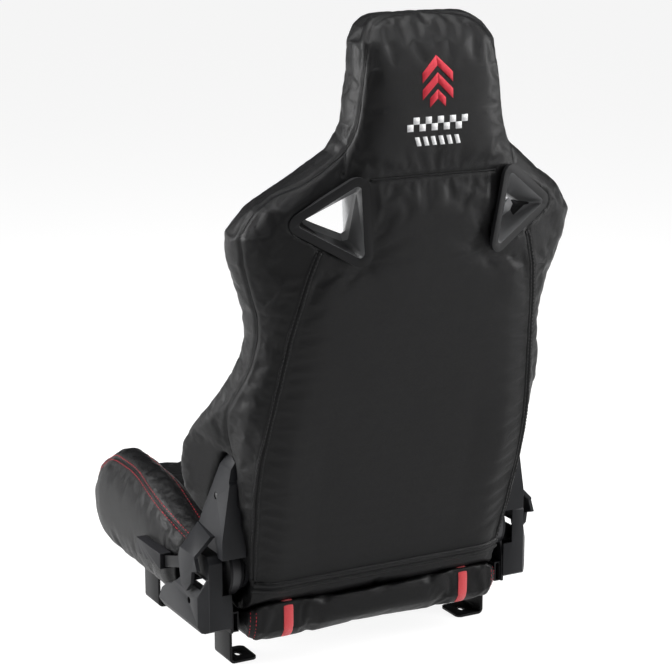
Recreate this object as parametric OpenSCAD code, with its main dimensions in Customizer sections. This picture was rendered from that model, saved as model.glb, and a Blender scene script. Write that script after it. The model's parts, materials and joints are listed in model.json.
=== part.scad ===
// Reclining bucket seat for a racing cockpit.
// +X is the seat's left, +Y its rear, +Z up. The origin lies on the floor plane,
// midway between the four slotted feet.

/* [Frame] */
// Width over the foot brackets, which is also the clear width between the side rails
frame_w = 428; // [380:1:480]
// Distance between the front and rear foot slots
foot_span = 256; // [200:1:320]
// Width of each foot bracket, front to rear
bracket_w = 52; // [36:1:64]
// How far each foot tab reaches inward
tab_len = 45; // [32:1:60]
// Thickness of the bracket and recliner plates
plate_t = 4; // [2.5:0.5:6]
// Width of a foot slot, for an M8 bolt
slot_w = 8.5; // [6.5:0.5:11]
// End-to-end length of a foot slot
slot_len = 16; // [12:0.5:26]
// Width of a side rail's box section
rail_t = 10; // [8:1:16]
// Height of a side rail's box section
rail_h = 30; // [20:1:40]
// Underside of the side rails above the floor
rail_z = 62; // [45:1:80]
// Diameter of the seat's cross tubes
cross_d = 22; // [16:1:28]

/* [Cushion] */
// Cushion length, from the nose to the back of the rear roll
cushion_len = 515; // [440:5:600]
// Cushion width over the bolsters
cushion_w = 500; // [450:5:580]
// Height of the bolster's peak above the floor
bolster_z = 235; // [200:1:280]
// Height of the seating surface above the floor
seat_z = 168; // [150:1:190]
// Thickness of the leather skin
skin_t = 2.5; // [1.5:0.5:4]
// Width of each strap over the rear roll
strap_w = 16; // [10:1:30]
// Distance of each roll strap from the middle
strap_x = 145; // [90:1:170]

/* [Backrest] */
// Height of the backrest's top above the recline pivot
back_h = 785; // [640:5:940]
// Width over the shoulder wings
shoulder_w = 520; // [440:5:580]
// Width at the waist
waist_w = 448; // [420:2:500]
// Width at the hip wings
hip_w = 520; // [500:5:570]
// Width of the headrest
head_w = 206; // [170:2:240]
// Depth of the pad from its rear face to its seating face
pad_depth = 96; // [85:1:115]
// Rearward lean of the back panel, in mm per mm of height
lean = 0.262; // [0.18:0.002:0.32]
// Diameter of the backrest's frame tubes
tube_d = 25; // [18:1:28]
// Diameter of the headrest hoop's tube
hoop_d = 16; // [12:1:20]

/* [Recliner] */
// Height of the recline pivot above the floor
pivot_z = 150; // [146:1:160]
// Distance of the recline pivot behind the origin
pivot_y = 150; // [146:1:154]
// Outer diameter of the toothed ring half
ring_d = 76; // [60:1:80]
// Diameter of the shaft that joins the two recliners
shaft_d = 12; // [9:0.5:15]
// Running clearance between moving faces
gap = 0.3; // [0.2:0.05:0.6]
// How far a pawl slides when the lever is lifted
pawl_travel = 3; // [2:0.5:4]

/* [Lever and covers] */
// Length of the lever's grip
grip_len = 88; // [60:1:100]
// Height of the lever's grip
grip_h = 24; // [22:1:32]
// Distance of the grip's rear end in front of the recline pivot
grip_reach = 112; // [100:1:130]
// How far the grip hangs below the recline pivot
grip_drop = 21; // [12:1:26]
// Wall thickness of the plastic covers
cover_t = 2.5; // [1.5:0.5:4]
// Diameter of the cover screws' shanks
screw_d = 5; // [4:0.5:6]

/* [Hidden] */
$fn = 48;
soft_fn = 20;                       // facets of a bore in foam or leather
bend_fn = 28;                       // and of the hoop's bent bore, which needs finer steps

// Recliner stack, outward from the middle
rail_x0 = frame_w / 2;
rail_x1 = rail_x0 + rail_t;         // inner face of the lower plate
lower_x1 = rail_x1 + plate_t;
half_t = 6.7;                       // thickness of each recliner half
guide_x0 = rail_x1 - half_t;
ring_x1 = guide_x0 - gap;
ring_x0 = ring_x1 - half_t - gap;
arm_x0 = ring_x0 - plate_t;         // inner face of the arm plate
ring_r = ring_d / 2;
ring_wall = 8;
ring_floor = 2;
rim_t = 3;
guide_r = ring_r + rim_t + 0.1;
lug_x0 = ring_x0 + ring_floor + gap;
pawl_w = 12;
pawl_r1 = ring_r - ring_wall - 0.4;
pawl_r0 = 14;
shaft_r = shaft_d / 2;
bore_r = shaft_r + 0.06;
torque_r = shaft_r + 9;             // outside of the lower back tube
soft_half = arm_x0 - 0.5;           // half width of the soft parts between the arm plates
hub_clear = guide_r + 6.9;          // radius that the soft parts leave round each recliner
sweep_r = 66;                       // the backrest's rounded foot turns inside this radius
spring_w = 6;
spring_x0 = arm_x0 - spring_w - 3;
pin_r = guide_r + 3.4;              // distance of the spring's fixed pin from the pivot
pin_turn = -120;                    // and its direction, clear of the arm plate's swing
pin_at = [pivot_y + pin_r * cos(pin_turn), pivot_z + pin_r * sin(pin_turn)];

// Lever
lever_x0 = lower_x1 + plate_t;
grip_x0 = lever_x0 + 20;
grip_x1 = grip_x0 + 18;
grip_y1 = pivot_y - grip_reach;
grip_z = pivot_z - grip_drop;
lever_front = grip_y1 - grip_len;
shank_h = 17;                       // height of the lever's arm
tongue_x = grip_x0 + 7;             // the arm's tongue lies in a slot in the grip

// Covers
cover_x1 = rail_x1 + 49.5;          // outer face of the lower cover
shield_x0 = cover_x1 + 1;
shield_x1 = shield_x0 + 5.5;
fin_x0 = cover_x1 - 32.5;
fin_x1 = cover_x1 - 12.3;
fin_r = 45;
upper_x0 = ring_x0 + 2;             // inner edge of the upper cover, let into the wing
upper_x1 = lower_x1 + 20.5;         // its outer face at the foot, from where it leans inward
upper_lean = 0.15;
screw_low = [pivot_y - 3, pivot_z - 43];
screw_high = [pivot_y + 20, pivot_z + 114];
head_high_x = upper_x1 - 12;        // underside of the upper cover screw's head

// Backrest
top_z = pivot_z + back_h;
foot_z = pivot_z - sweep_r - 4;
rear_max = pivot_y + 204;           // rear face of the headrest
head_depth = 72;
crown_r = 35;
nod_h = 90;                         // the headrest's top curves forward over this height
nod = 26;                           // by this much
k = back_h / 785;                   // height scale of the outline
hip_z = pivot_z + 150 * k;
waist_z = pivot_z + 360 * k;
shoulder_z = pivot_z + 497 * k;
neck_z = pivot_z + 640 * k;
upright_x = arm_x0 - tube_d / 2;
tube_in = 36;                       // frame tubes lie this far inside the rear face
mid_bar_z = pivot_z + 250 * k;
shoulder_bar_z = pivot_z + 432 * k;
hoop_x = head_w / 2 - 30;
hoop_in = 34.6;                     // the hoop's top lies this far inside the headrest's rear face
hoop_bend = 30;
shoulder_bar_r = tube_d / 2 - 3;

// Harness openings, as x and z on the seat's left: sharp corners of the rear rim and of the front rim,
// and of the two narrower rings that the opening passes between them
harness_rear = [[106, pivot_z + 592 * k], [89, pivot_z + 446 * k], [214, pivot_z + 518 * k]];
harness_front = [[88, pivot_z + 578 * k], [76, pivot_z + 468 * k], [184, pivot_z + 522 * k]];
harness_step = [[101, pivot_z + 556 * k], [108, pivot_z + 490 * k], [116, pivot_z + 488 * k],
    [174, pivot_z + 514 * k]];
harness_throat = [[96, pivot_z + 553 * k], [104, pivot_z + 500 * k], [111, pivot_z + 496 * k],
    [164, pivot_z + 519 * k]];
harness_turn = 18.3;                // the opening faces outward by this much
harness_tilt = 8;                   // and downward by this much
harness_mid = [143, pivot_y + 187, pivot_z + 520 * k];
rim_w = 11;
rim_depth = 7;
rim_round = 15;
wall_t = 3;
step_depth = 30;
throat_depth = 45;
tunnel_depth = 78;

// Cushion
nose_y = pivot_y + 55 - cushion_len;
roll_y = pivot_y + 55;
pan_z = seat_z - 50;                // underside of the foam over the frame
frame_front = nose_y + 122;
side_z0 = rail_z + 8;
well_y0 = frame_front - 8;          // the frame lies in a well under the foam, from here
well_y1 = pivot_y - 86;             // to here

// ---------- helpers ----------
function mix(a, b, t) = a + (b - a) * t;
function smooth(t) = t * t * (3 - 2 * t);
// Value at v on a chain of [position, value] keys, eased between each two
function ease(keys, v, i = 0) =
    v <= keys[0][0] ? keys[0][1] :
    i + 1 >= len(keys) ? keys[len(keys) - 1][1] :
    v <= keys[i + 1][0]
        ? mix(keys[i][1], keys[i + 1][1], smooth((v - keys[i][0]) / (keys[i + 1][0] - keys[i][0])))
        : ease(keys, v, i + 1);
// Catmull-Rom point between b and c
function spline(a, b, c, d, t) = 0.5 * (2 * b + (c - a) * t + (2 * a - 5 * b + 4 * c - d) * t * t
    + (3 * b - a - 3 * c + d) * t * t * t);
function at(p, i) = p[(i + len(p)) % len(p)];
// Closed smooth ring through the points p, with n steps between each two
function ring(p, n) = [for (i = [0:len(p) - 1], j = [0:n - 1])
    spline(at(p, i - 1), at(p, i), at(p, i + 1), at(p, i + 2), j / n)];
// A half outline from one end of the middle line to the other, completed by its mirror image
function whole(h) = concat(h, [for (i = [len(h) - 2:-1:1]) [-h[i][0], h[i][1]]]);

// Closed solid through rings of equal length, each a list of 3-D points
module loft(rings) {
    m = len(rings[0]);
    n = len(rings);
    polyhedron(
        points = [for (r = rings, p = r) p],
        faces = concat(
            [[for (i = [m - 1:-1:0]) i]],
            [for (j = [0:n - 2], i = [0:m - 1]) [j * m + i, (j + 1) * m + (i + 1) % m, (j + 1) * m + i]],
            [for (j = [0:n - 2], i = [0:m - 1]) [j * m + i, j * m + (i + 1) % m, (j + 1) * m + (i + 1) % m]],
            [[for (i = [0:m - 1]) (n - 1) * m + i]]),
        convexity = 8);
}

// A soft part's solid, kept as one mesh
module soft_body() { resize([0, 0, 0]) children(); }

// Lays a y-z outline on the seat's left side, between two distances from the middle
module side(x0, x1) { translate([x0, 0, 0]) rotate([90, 0, 90]) linear_extrude(x1 - x0) children(); }
module on_pivot() { translate([pivot_y, pivot_z]) children(); }
module left_right(right) { mirror([right ? 1 : 0, 0, 0]) children(); }
module cross(x0, x1, y, z, r, fn = 48) {
    translate([x0, y, z]) rotate([0, 90, 0]) cylinder(r = r, h = x1 - x0, $fn = fn);
}
module both() { children(); mirror([1, 0, 0]) children(); }

// ---------- seat frame ----------
module side_rail(right) {
    wall = 2;
    rear = pivot_y + 35;
    color("#202224") left_right(right)
        translate([rail_x0, frame_front, rail_z]) difference() {
            cube([rail_t, rear - frame_front, rail_h]);
            translate([wall, -1, wall]) cube([rail_t - 2 * wall, rear - frame_front + 2, rail_h - 2 * wall]);
        }
}

module crossbar(y, z) {
    color("#202224") difference() {
        cross(-rail_x0, rail_x0, y, z, cross_d / 2);
        cross(-rail_x0 - 1, rail_x0 + 1, y, z, cross_d / 2 - 2);
    }
}
front_bar = [frame_front + 18, rail_z + rail_h - cross_d / 2];
rear_bar = [pivot_y + 18, pivot_z - 78];

// Row of sinuous wires across the frame, cut from one wavy outline each
module wavy_wire(length, swing, waves, wire) {
    n = waves * 8;
    wave = function (i) [length * i / n, swing * sin(360 * i / 8)];
    linear_extrude(wire) polygon(concat(
        [for (i = [0:n]) wave(i) + [0, wire / 2]],
        [for (i = [n:-1:0]) wave(i) - [0, wire / 2]]));
}
module seat_springs() {
    spring_y = [for (i = [0:3]) frame_front + 55 + i * 50];
    color("#6a6e72") for (y = spring_y)
        translate([plate_t - rail_x0, y, rail_z + rail_h - 6])
            wavy_wire(2 * (rail_x0 - plate_t), 12, 9, 3.5);
}

// L-shaped foot: a strap down the inner face of the rail and a slotted tab on the floor
module bracket(right, rear) {
    y = foot_span / 2 * (rear ? 1 : -1);
    bend = 8;
    color("#17181a") left_right(right) difference() {
        translate([0, y - bracket_w / 2, 0]) rotate([90, 0, 180]) mirror([1, 0, 0])
            linear_extrude(bracket_w) difference() {
                union() {
                    translate([rail_x0 - plate_t, bend]) square([plate_t, rail_z + rail_h - 2 - bend]);
                    translate([rail_x0 - tab_len, 0]) square([tab_len - bend, plate_t]);
                    translate([rail_x0 - bend, bend]) intersection() {
                        difference() { circle(bend); circle(bend - plate_t); }
                        translate([0, -bend]) square(bend);
                    }
                }
            }
        translate([rail_x0 - tab_len + 21, y, -1]) linear_extrude(plate_t + 2) foot_slot();
        for (s = [-1, 1]) translate([rail_x0 - tab_len, y + s * bracket_w / 2, -1]) corner_cut(s);
    }
}
module foot_slot() {
    reach = (slot_len - slot_w) / 2;
    square([slot_w, 2 * reach], center = true);
    for (s = [-1, 1]) translate([0, s * reach]) circle(d = slot_w);
}
module corner_cut(s) {
    r = 9;
    mirror([0, s > 0 ? 1 : 0, 0]) linear_extrude(plate_t + 2) difference() {
        translate([-1, -1]) square(r + 1);
        translate([r, r]) circle(r);
    }
}

// ---------- recliner ----------
module lower_plate(right) {
    foot = [[pivot_y - 50, rail_z], [pivot_y + 38, rail_z], [pivot_y + 38, rail_z + rail_h + 10],
        [pivot_y + 30, pivot_z - 20], [pivot_y - 30, pivot_z - 20], [pivot_y - 50, rail_z + rail_h + 6]];
    color("#2a2c2f") left_right(right) difference() {
        side(rail_x1, lower_x1) union() {
            polygon(foot);
            on_pivot() circle(guide_r);
        }
        cross(rail_x1 - 1, lower_x1 + 1, pivot_y, pivot_z, bore_r);
        cross(rail_x1 - 1, lower_x1 + 1, screw_low[0], screw_low[1], screw_d / 2);
        cross(rail_x1 - 1, lower_x1 + 1, pin_at[0], pin_at[1], 2.5);
    }
}

// Fixed half: a cup that holds the ring half, with four lugs that guide the pawls
module guide_disc(right) {
    color("#777b80") left_right(right) difference() {
        union() {
            difference() {
                side(guide_x0 - half_t + 2, rail_x1) on_pivot() circle(guide_r);
                side(guide_x0 - half_t + 1, guide_x0) on_pivot() circle(ring_r + 0.1);
            }
            side(lug_x0, guide_x0) on_pivot() intersection() {
                circle(pawl_r1 - 0.6);
                for (s = [-1, 1], t = [-1, 1])
                    translate([s * (pawl_w / 2 + 10.1), t * 16]) square([20, 12], center = true);
            }
        }
        cross(lug_x0 - 1, rail_x1 + 1, pivot_y, pivot_z, bore_r);
    }
}

// Moving half: a shallow cup whose rim the pawls press against
module ring_disc(right) {
    color("#8b8f94") left_right(right) difference() {
        cross(ring_x0, ring_x1, pivot_y, pivot_z, ring_r);
        cross(ring_x0 + ring_floor, ring_x1 + 1, pivot_y, pivot_z, ring_r - ring_wall);
        cross(ring_x0 - 1, ring_x1, pivot_y, pivot_z, bore_r);
    }
}

module pawl(right, up) {
    s = up ? 1 : -1;
    color("#a4a7aa") left_right(right) side(lug_x0, guide_x0 - gap) on_pivot() intersection() {
        circle(pawl_r1);
        translate([-pawl_w / 2, s > 0 ? pawl_r0 : -ring_r]) square([pawl_w, ring_r - pawl_r0]);
    }
}

module cam(right) {
    color("#55585c") left_right(right) difference() {
        side(lug_x0, guide_x0 - gap) on_pivot() union() {
            circle(shaft_r + 1.5);
            rotate(35) square([2 * (pawl_r0 - pawl_travel - 1), 6], center = true);
        }
        cross(lug_x0 - 1, guide_x0, pivot_y, pivot_z, shaft_r);
    }
}

module cam_shaft() {
    color("#9a9da0") cross(-lower_x1 - 6, lever_x0 + plate_t, pivot_y, pivot_z, shaft_r);
}

module shaft_clip() {
    color("#55585c") difference() {
        cross(-lower_x1 - 3, -lower_x1 - gap, pivot_y, pivot_z, shaft_r + 4);
        cross(-lower_x1 - 4, -lower_x1, pivot_y, pivot_z, shaft_r);
    }
}

// Blade that carries the backrest's frame up from the ring half
module arm_outline() {
    polygon([[pivot_y - 24, pivot_z + 20], [pivot_y - 6, pivot_z + 112], [pivot_y + 22, pivot_z + 172],
        [pivot_y + 70, pivot_z + 172], [pivot_y + 62, pivot_z + 112], [pivot_y + 30, pivot_z + 10]]);
}
module arm_plate(right) {
    color("#2a2c2f") left_right(right) difference() {
        side(arm_x0, ring_x0) union() {
            on_pivot() circle(ring_r);
            arm_outline();
        }
        cross(arm_x0 - 1, ring_x0 + 1, pivot_y, pivot_z, bore_r);
        cross(arm_x0 - 1, ring_x0 + 1, screw_high[0], screw_high[1], screw_d / 2);
    }
}

// Fixed pins that hold the outer ends of the clock springs
module spring_pins() {
    color("#9a9da0") both()
        cross(spring_x0, lower_x1, pin_at[0], pin_at[1], 2.5);
}

module clock_spring(right) {
    turns = 3;
    r0 = torque_r + 2;
    r1 = pin_r - 3.7;
    thick = 1.6;
    n = turns * 24;
    coil = function (i, side)
        let (r = mix(r0, r1, i / n) + side * thick / 2, a = pin_turn + 360 * turns * i / n)
        [r * cos(a), r * sin(a)];
    color("#3a3d42") left_right(right) side(spring_x0, spring_x0 + spring_w) on_pivot()
        polygon(concat([for (i = [0:n]) coil(i, 1)], [for (i = [n:-1:0]) coil(i, -1)]));
}

// ---------- lever ----------
// Thin upright slice of the lever's arm, from which its bars are drawn
module arm_slice(x, y, z) { translate([x, y, z - shank_h / 2]) cube([plate_t, 1, shank_h]); }
module lever_arm() {
    elbow = [pivot_y - 46, pivot_z - 1];
    color("#121315") difference() {
        union() {
            side(lever_x0, lever_x0 + plate_t) on_pivot() circle(17);
            hull() {
                arm_slice(lever_x0, pivot_y - 8, pivot_z + 1);
                arm_slice(lever_x0, pivot_y - 26, pivot_z + 1);
            }
            hull() {
                arm_slice(lever_x0, pivot_y - 26, pivot_z + 1);
                arm_slice(tongue_x, elbow[0], elbow[1]);
            }
            hull() {
                arm_slice(tongue_x, elbow[0], elbow[1]);
                arm_slice(tongue_x, grip_y1, grip_z);
            }
            translate([tongue_x, lever_front + 8, grip_z - shank_h / 2])
                cube([plate_t, grip_len - 7, shank_h]);
        }
        cross(lever_x0 - 1, lever_x0 + plate_t + 1, pivot_y, pivot_z, shaft_r);
    }
}

module lever_grip() {
    scallop_r = 10;
    color("#1b1c1e") difference() {
        translate([grip_x0, lever_front, grip_z - grip_h / 2]) cube([grip_x1 - grip_x0, grip_len, grip_h]);
        translate([tongue_x, lever_front + 8, grip_z - shank_h / 2]) cube([plate_t, grip_len, shank_h]);
        // finger scallops along the underside
        for (i = [0:2]) translate([grip_x0 - 1, lever_front + grip_len * (0.24 + 0.26 * i), 0])
            translate([0, 0, grip_z - grip_h / 2 - scallop_r + 3])
                rotate([0, 90, 0]) cylinder(r = scallop_r, h = grip_x1 - grip_x0 + 2);
    }
}

module lever_screw() {
    color("#9a9da0") cross(lever_x0 + plate_t, lever_x0 + plate_t + 4, pivot_y, pivot_z, shaft_r + 2);
}

module lever_return_spring() {
    color("#3a3d42") difference() {
        cross(lower_x1 + gap, lever_x0 - gap, pivot_y, pivot_z, shaft_r + 5);
        cross(lower_x1, lever_x0, pivot_y, pivot_z, shaft_r + 2);
    }
}

// ---------- covers ----------
module lower_outline() {
    polygon([[pivot_y - 110, rail_z + 15], [pivot_y - 99, rail_z + 33], [pivot_y - 80, rail_z + 46],
        [pivot_y - 62, rail_z + 52], [pivot_y - 45, rail_z + 63], [pivot_y - 30, pivot_z - 8],
        [pivot_y - 10, pivot_z - 2], [pivot_y + 40, pivot_z - 2], [pivot_y + 40, rail_z + 9],
        [pivot_y + 34, rail_z + 5], [pivot_y - 100, rail_z + 5]]);
}
module fin_outline() {
    intersection() {
        on_pivot() circle(fin_r);
        translate([pivot_y - 34, pivot_z - 30]) square([74, 60]);
    }
}
// Cross-section of the lower cover seen from behind: bevelled along its outer edge
module lower_section() {
    polygon([[rail_x1 + 2, rail_z - 5], [cover_x1 - 9, rail_z - 5], [cover_x1, rail_z + 13],
        [cover_x1, pivot_z - 30], [fin_x1, pivot_z], [rail_x1 + 2, pivot_z]]);
}
// The lower cover seen from above, moved inward by g: chamfered at its rear corner
module lower_plan(g) {
    chamfer = cover_x1 - fin_x1;
    corner = pivot_y + 26 - 0.4 * g;
    polygon([[rail_x1, pivot_y - 150], [cover_x1 - g, pivot_y - 150], [cover_x1 - g, corner],
        [fin_x1 - g, corner + chamfer], [fin_x1 - g, pivot_y + 100], [rail_x1, pivot_y + 100]]);
}
module lower_cover(right) {
    x_in = lower_x1 - 1.7;
    color("#26282b") left_right(right) difference() {
        union() {
            intersection() {
                side(x_in, cover_x1 + 1) lower_outline();
                translate([0, 400, 0]) rotate([90, 0, 0]) linear_extrude(500) lower_section();
                linear_extrude(pivot_z + 50) lower_plan(0);
            }
            side(fin_x0, fin_x1) fin_outline();
        }
        intersection() {
            side(x_in - 1, cover_x1 - cover_t - 2) offset(delta = -cover_t) lower_outline();
            linear_extrude(pivot_z + 50) lower_plan(cover_t);
        }
        side(lower_x1, fin_x1 - cover_t) offset(delta = -cover_t) fin_outline();
        side(x_in - 1, lower_x1 + 0.6) offset(delta = 1) plate_outline();
        side(lower_x1, fin_x1 - cover_t) on_pivot() circle(26);
        // the fin stands alone above the rear wall
        translate([x_in - 1, pivot_y - 30, pivot_z - 29]) cube([fin_x0 - x_in + 1, 100, 60]);
        // way out for the lever
        translate([lower_x1, pivot_y - 66, pivot_z - 16]) cube([tongue_x + plate_t + 4 - lower_x1, 56, 60]);
        cross(cover_x1 - 20, cover_x1 + 2, screw_low[0], screw_low[1], screw_d);
    }
}
module plate_outline() {
    on_pivot() circle(guide_r);
    translate([pivot_y - 50, rail_z]) square([88, 90]);
}
module lower_cover_screws() {
    color("#0d0e0f") both() {
        cross(rail_x1, cover_x1 - 8, screw_low[0], screw_low[1], screw_d / 2);
        cross(cover_x1 - 8, cover_x1 - 5, screw_low[0], screw_low[1], screw_d - 0.5);
    }
}

module upper_outline() {
    polygon([[pivot_y - 22, pivot_z + 65], [pivot_y - 11, pivot_z + 92], [pivot_y + 29, pivot_z + 178],
        [pivot_y + 57, pivot_z + 170], [pivot_y + 55, pivot_z + 142], [pivot_y + 58, pivot_z + 138],
        [pivot_y + 58, pivot_z + 30], [pivot_y + 42, pivot_z + 30], [pivot_y + 33, pivot_z + 59]]);
}
module shield_outline() {
    polygon([[pivot_y - 22, pivot_z + 65], [pivot_y + 33, pivot_z + 59], [pivot_y + 32, pivot_z + 30],
        [pivot_y + 40, pivot_z + 14], [pivot_y + 22, pivot_z + 8], [pivot_y + 19, pivot_z - 9],
        [pivot_y + 2, pivot_z - 26], [pivot_y - 15, pivot_z - 20], [pivot_y - 24, pivot_z + 18],
        [pivot_y - 16, pivot_z + 37]]);
}
// Folded section of the upper cover, seen from behind
module shield_section() {
    polygon([[shield_x0, pivot_z - 30], [shield_x1, pivot_z - 30], [shield_x1, pivot_z + 34],
        [upper_x1, pivot_z + 66], [upper_x1 - 4, pivot_z + 66], [upper_x1 - 4, pivot_z + 62],
        [shield_x0, pivot_z + 32]]);
}
// Body of the upper cover seen from behind: its outer face leans inward and turns in at the top
module upper_section() {
    tip_z = pivot_z + 160;
    lean_x = function (z) upper_x1 - upper_lean * (z - pivot_z - 59);
    polygon([[upper_x0, pivot_z], [upper_x1, pivot_z], [upper_x1, pivot_z + 59], [lean_x(tip_z), tip_z],
        [lean_x(tip_z) - 12, pivot_z + 180], [upper_x0, pivot_z + 180]]);
}
module upper_body(shrink) {
    intersection() {
        side(upper_x0, upper_x1) offset(delta = -shrink) difference() {
            upper_outline();
            on_pivot() circle(fin_r + 1.5);
        }
        translate([-shrink, 400, 0]) rotate([90, 0, 0]) linear_extrude(500) upper_section();
    }
}
module upper_cover(right) {
    color("#2b2d30") left_right(right) difference() {
        union() {
            difference() {
                upper_body(0);
                translate([-1, 0, 0]) upper_body(cover_t);
                upper_body(cover_t);
            }
            intersection() {
                side(upper_x1 - 6, shield_x1 + 1) shield_outline();
                translate([0, 400, 0]) rotate([90, 0, 0]) linear_extrude(500) shield_section();
            }
        }
        cross(upper_x0, upper_x1 + 1, screw_high[0], screw_high[1], screw_d);
    }
}
module upper_cover_screws() {
    color("#0d0e0f") both() {
        cross(arm_x0, head_high_x, screw_high[0], screw_high[1], screw_d / 2);
        cross(head_high_x, head_high_x + 3, screw_high[0], screw_high[1], screw_d - 0.5);
    }
}

// ---------- backrest frame ----------
function rear_face(z) = min(pivot_y + 59 + lean * (z - pivot_z + 20), rear_max);
function tube_y(z) = rear_face(z) - tube_in;

module lower_back_tube() {
    color("#202224") difference() {
        cross(-arm_x0, arm_x0, pivot_y, pivot_z, torque_r);
        cross(-arm_x0 - 1, arm_x0 + 1, pivot_y, pivot_z, shaft_r + 6);
    }
}
upright_z0 = pivot_z + 38;
upright_len = (shoulder_bar_z - upright_z0) / cos(atan(lean));
module upright_axis() {
    translate([upright_x, tube_y(upright_z0), upright_z0]) rotate([-atan(lean), 0, 0]) children();
}
module upright(right) {
    color("#202224") left_right(right) upright_axis() difference() {
        cylinder(d = tube_d, h = upright_len);
        translate([0, 0, -1]) cylinder(d = tube_d - 4, h = upright_len + 2);
    }
}
module middle_bar() {
    reach = upright_x - tube_d / 2 - gap;
    color("#202224") cross(-reach, reach, tube_y(mid_bar_z), mid_bar_z, hoop_d / 2);
}
// Axis of the bar that lies on top of the uprights
bar_at = [tube_y(shoulder_bar_z) + tube_d / 2 * lean, shoulder_bar_z + tube_d / 2];
module shoulder_bar() {
    color("#202224") cross(-arm_x0, arm_x0, bar_at[0], bar_at[1], shoulder_bar_r);
}
// The hoop's two legs, bends and top, grown by e
module hoop_form(e, fn = 48) {
    r = hoop_d / 2 + e;
    tall = top_z - 58 - bar_at[1];
    hoop_lean = atan((rear_max - hoop_in - bar_at[0]) / tall);
    translate([0, bar_at[0], bar_at[1]]) rotate([-hoop_lean, 0, 0]) {
        both() translate([hoop_x, 0, shoulder_bar_r - 2])
            cylinder(r = r, h = tall - hoop_bend - shoulder_bar_r + 2, $fn = fn);
        both() translate([hoop_x - hoop_bend, 0, tall - hoop_bend])
            rotate([90, 0, 0]) rotate_extrude(angle = 90, $fn = fn)
                translate([hoop_bend, 0]) circle(r, $fn = fn);
        cross(hoop_bend - hoop_x, hoop_x - hoop_bend, 0, tall, r, fn);
    }
}
module headrest_hoop() { color("#3a3d42") hoop_form(0); }
module back_springs() {
    color("#6a6e72") for (i = [0:3]) let (z = pivot_z + (90 + 42 * i) * k)
        translate([-upright_x + tube_d / 2 + 0.5, tube_y(z) - 2, z]) rotate([90, 0, 0])
            wavy_wire(2 * upright_x - tube_d - 1, 9, 8, 3);
}

// ---------- backrest pad ----------
w_keys = [[foot_z, soft_half], [pivot_z + 15, soft_half + 1], [hip_z - 20, hip_w / 2],
    [hip_z + 30 * k, hip_w / 2], [waist_z, waist_w / 2], [shoulder_z, shoulder_w / 2],
    [neck_z, head_w / 2 + 12], [neck_z + 90 * k, head_w / 2], [top_z, head_w / 2 - 10]];
front_keys = [[pivot_z - 30, pivot_y - 40], [pivot_z + 35, pivot_y - 44], [pivot_z + 100 * k, pivot_y - 62],
    [pivot_z + 140 * k, pivot_y - 62], [pivot_z + 355 * k, pivot_y + 63], [shoulder_z, pivot_y + 72],
    [neck_z, rear_max - head_depth], [pivot_z + 700 * k, rear_max - head_depth - 2]];
panel_keys = [[foot_z, soft_half - 8], [pivot_z + 90, waist_w / 2 - 10], [pivot_z + 190 * k, waist_w / 2 - 8],
    [pivot_z + 400 * k, waist_w / 2 - 40], [neck_z - 90 * k, head_w / 2 + 6], [top_z, head_w / 2 - 8]];
inner_keys = [[pivot_z, soft_half - 55], [hip_z, 160], [waist_z, 150], [shoulder_z, 135],
    [neck_z, head_w / 2 - 32], [top_z, head_w / 2 - 32]];
wing_keys = [[pivot_z, 40], [hip_z, 52], [shoulder_z, 50], [neck_z, 24], [top_z, 24]];

// How far the headrest's crown is rounded off at height z
function crown(z) = z < top_z - crown_r ? 0 :
    crown_r - sqrt(max(0, pow(crown_r, 2) - pow(z - top_z + crown_r, 2)));
// How far the top of the headrest's rear face curves forward at height z
function head_nod(z) = let (t = max(0, z - (top_z - nod_h)) / nod_h) nod * t * t;
// Distance of the seating face from the front at height z: the pad's at the waist, the headrest's at the neck
function seat_face(z) = let (t = (z - waist_z) / (neck_z - waist_z))
    mix(rear_face(z) - pad_depth, rear_max - head_depth - 2, smooth(max(0, min(1, t))));

// Horizontal section of the pad at height z, moved inward by g
function back_section(z, g) =
    let (c = crown(z) * 0.95,
        w = ease(w_keys, z) - g - c,
        panel = min(ease(panel_keys, z) - g - c, w - 3),
        yr = rear_face(z) - g - c * 0.7 - head_nod(z),
        yf = seat_face(z) + g + c * 0.6 - head_nod(z) * 0.6,
        yw = min(ease(front_keys, z) + g + c * 0.6 - head_nod(z) * 0.6, yf + 4),
        inner = min(ease(inner_keys, z), w - 14),
        wing = ease(wing_keys, z) - 2 * g,
        lift = smooth(max(0, min(1, (z - pivot_z - 180) / 90))),
        side_y = mix(yw, yr, mix(0.1, 0.52, lift)))
    [for (p = ring(whole([[0, yr], [panel * 0.55, yr], [panel, yr - 3],
        [mix(panel, w, mix(0.35, 0.75, lift)), mix(yr, side_y, 0.5)], [w, side_y],
        [w - 1, mix(yw, side_y, 0.45)], [w - 7, mix(yw, side_y, 0.2)], [w - wing * 0.45, yw],
        [w - wing, mix(yw, yf, 0.22) + 2], [mix(inner, w - wing, 0.3), mix(yw, yf, 0.82)],
        [inner * 0.8, yf], [inner * 0.4, yf], [0, yf]]), 2)) [p[0], p[1], z]];

module back_form(g) {
    steps = 24;
    z1 = top_z - g;
    levels = concat([for (i = [0:steps - 1]) mix(foot_z, z1 - crown_r, i / (steps - 1))],
        [for (a = [35, 62, 82]) z1 - crown_r + crown_r * sin(a)]);
    intersection() {
        loft([for (z = levels) back_section(z, g)]);
        union() {
            cross(-400, 400, pivot_y, pivot_z, sweep_r - g, 64);
            translate([-400, -200, pivot_z]) cube([800, 800, 1000]);
        }
    }
}

// Outline of one of the opening's rings, grown and with its corners rounded
module harness_outline(ring_points, grow, r) {
    offset(r = r, $fn = soft_fn) offset(delta = grow - r) polygon(ring_points);
}
module harness_prism(ring_points, grow, r) {
    translate([0, rear_max + 60, 0]) rotate([90, 0, 0])
        linear_extrude(rear_max) harness_outline(ring_points, grow, r);
}
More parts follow.
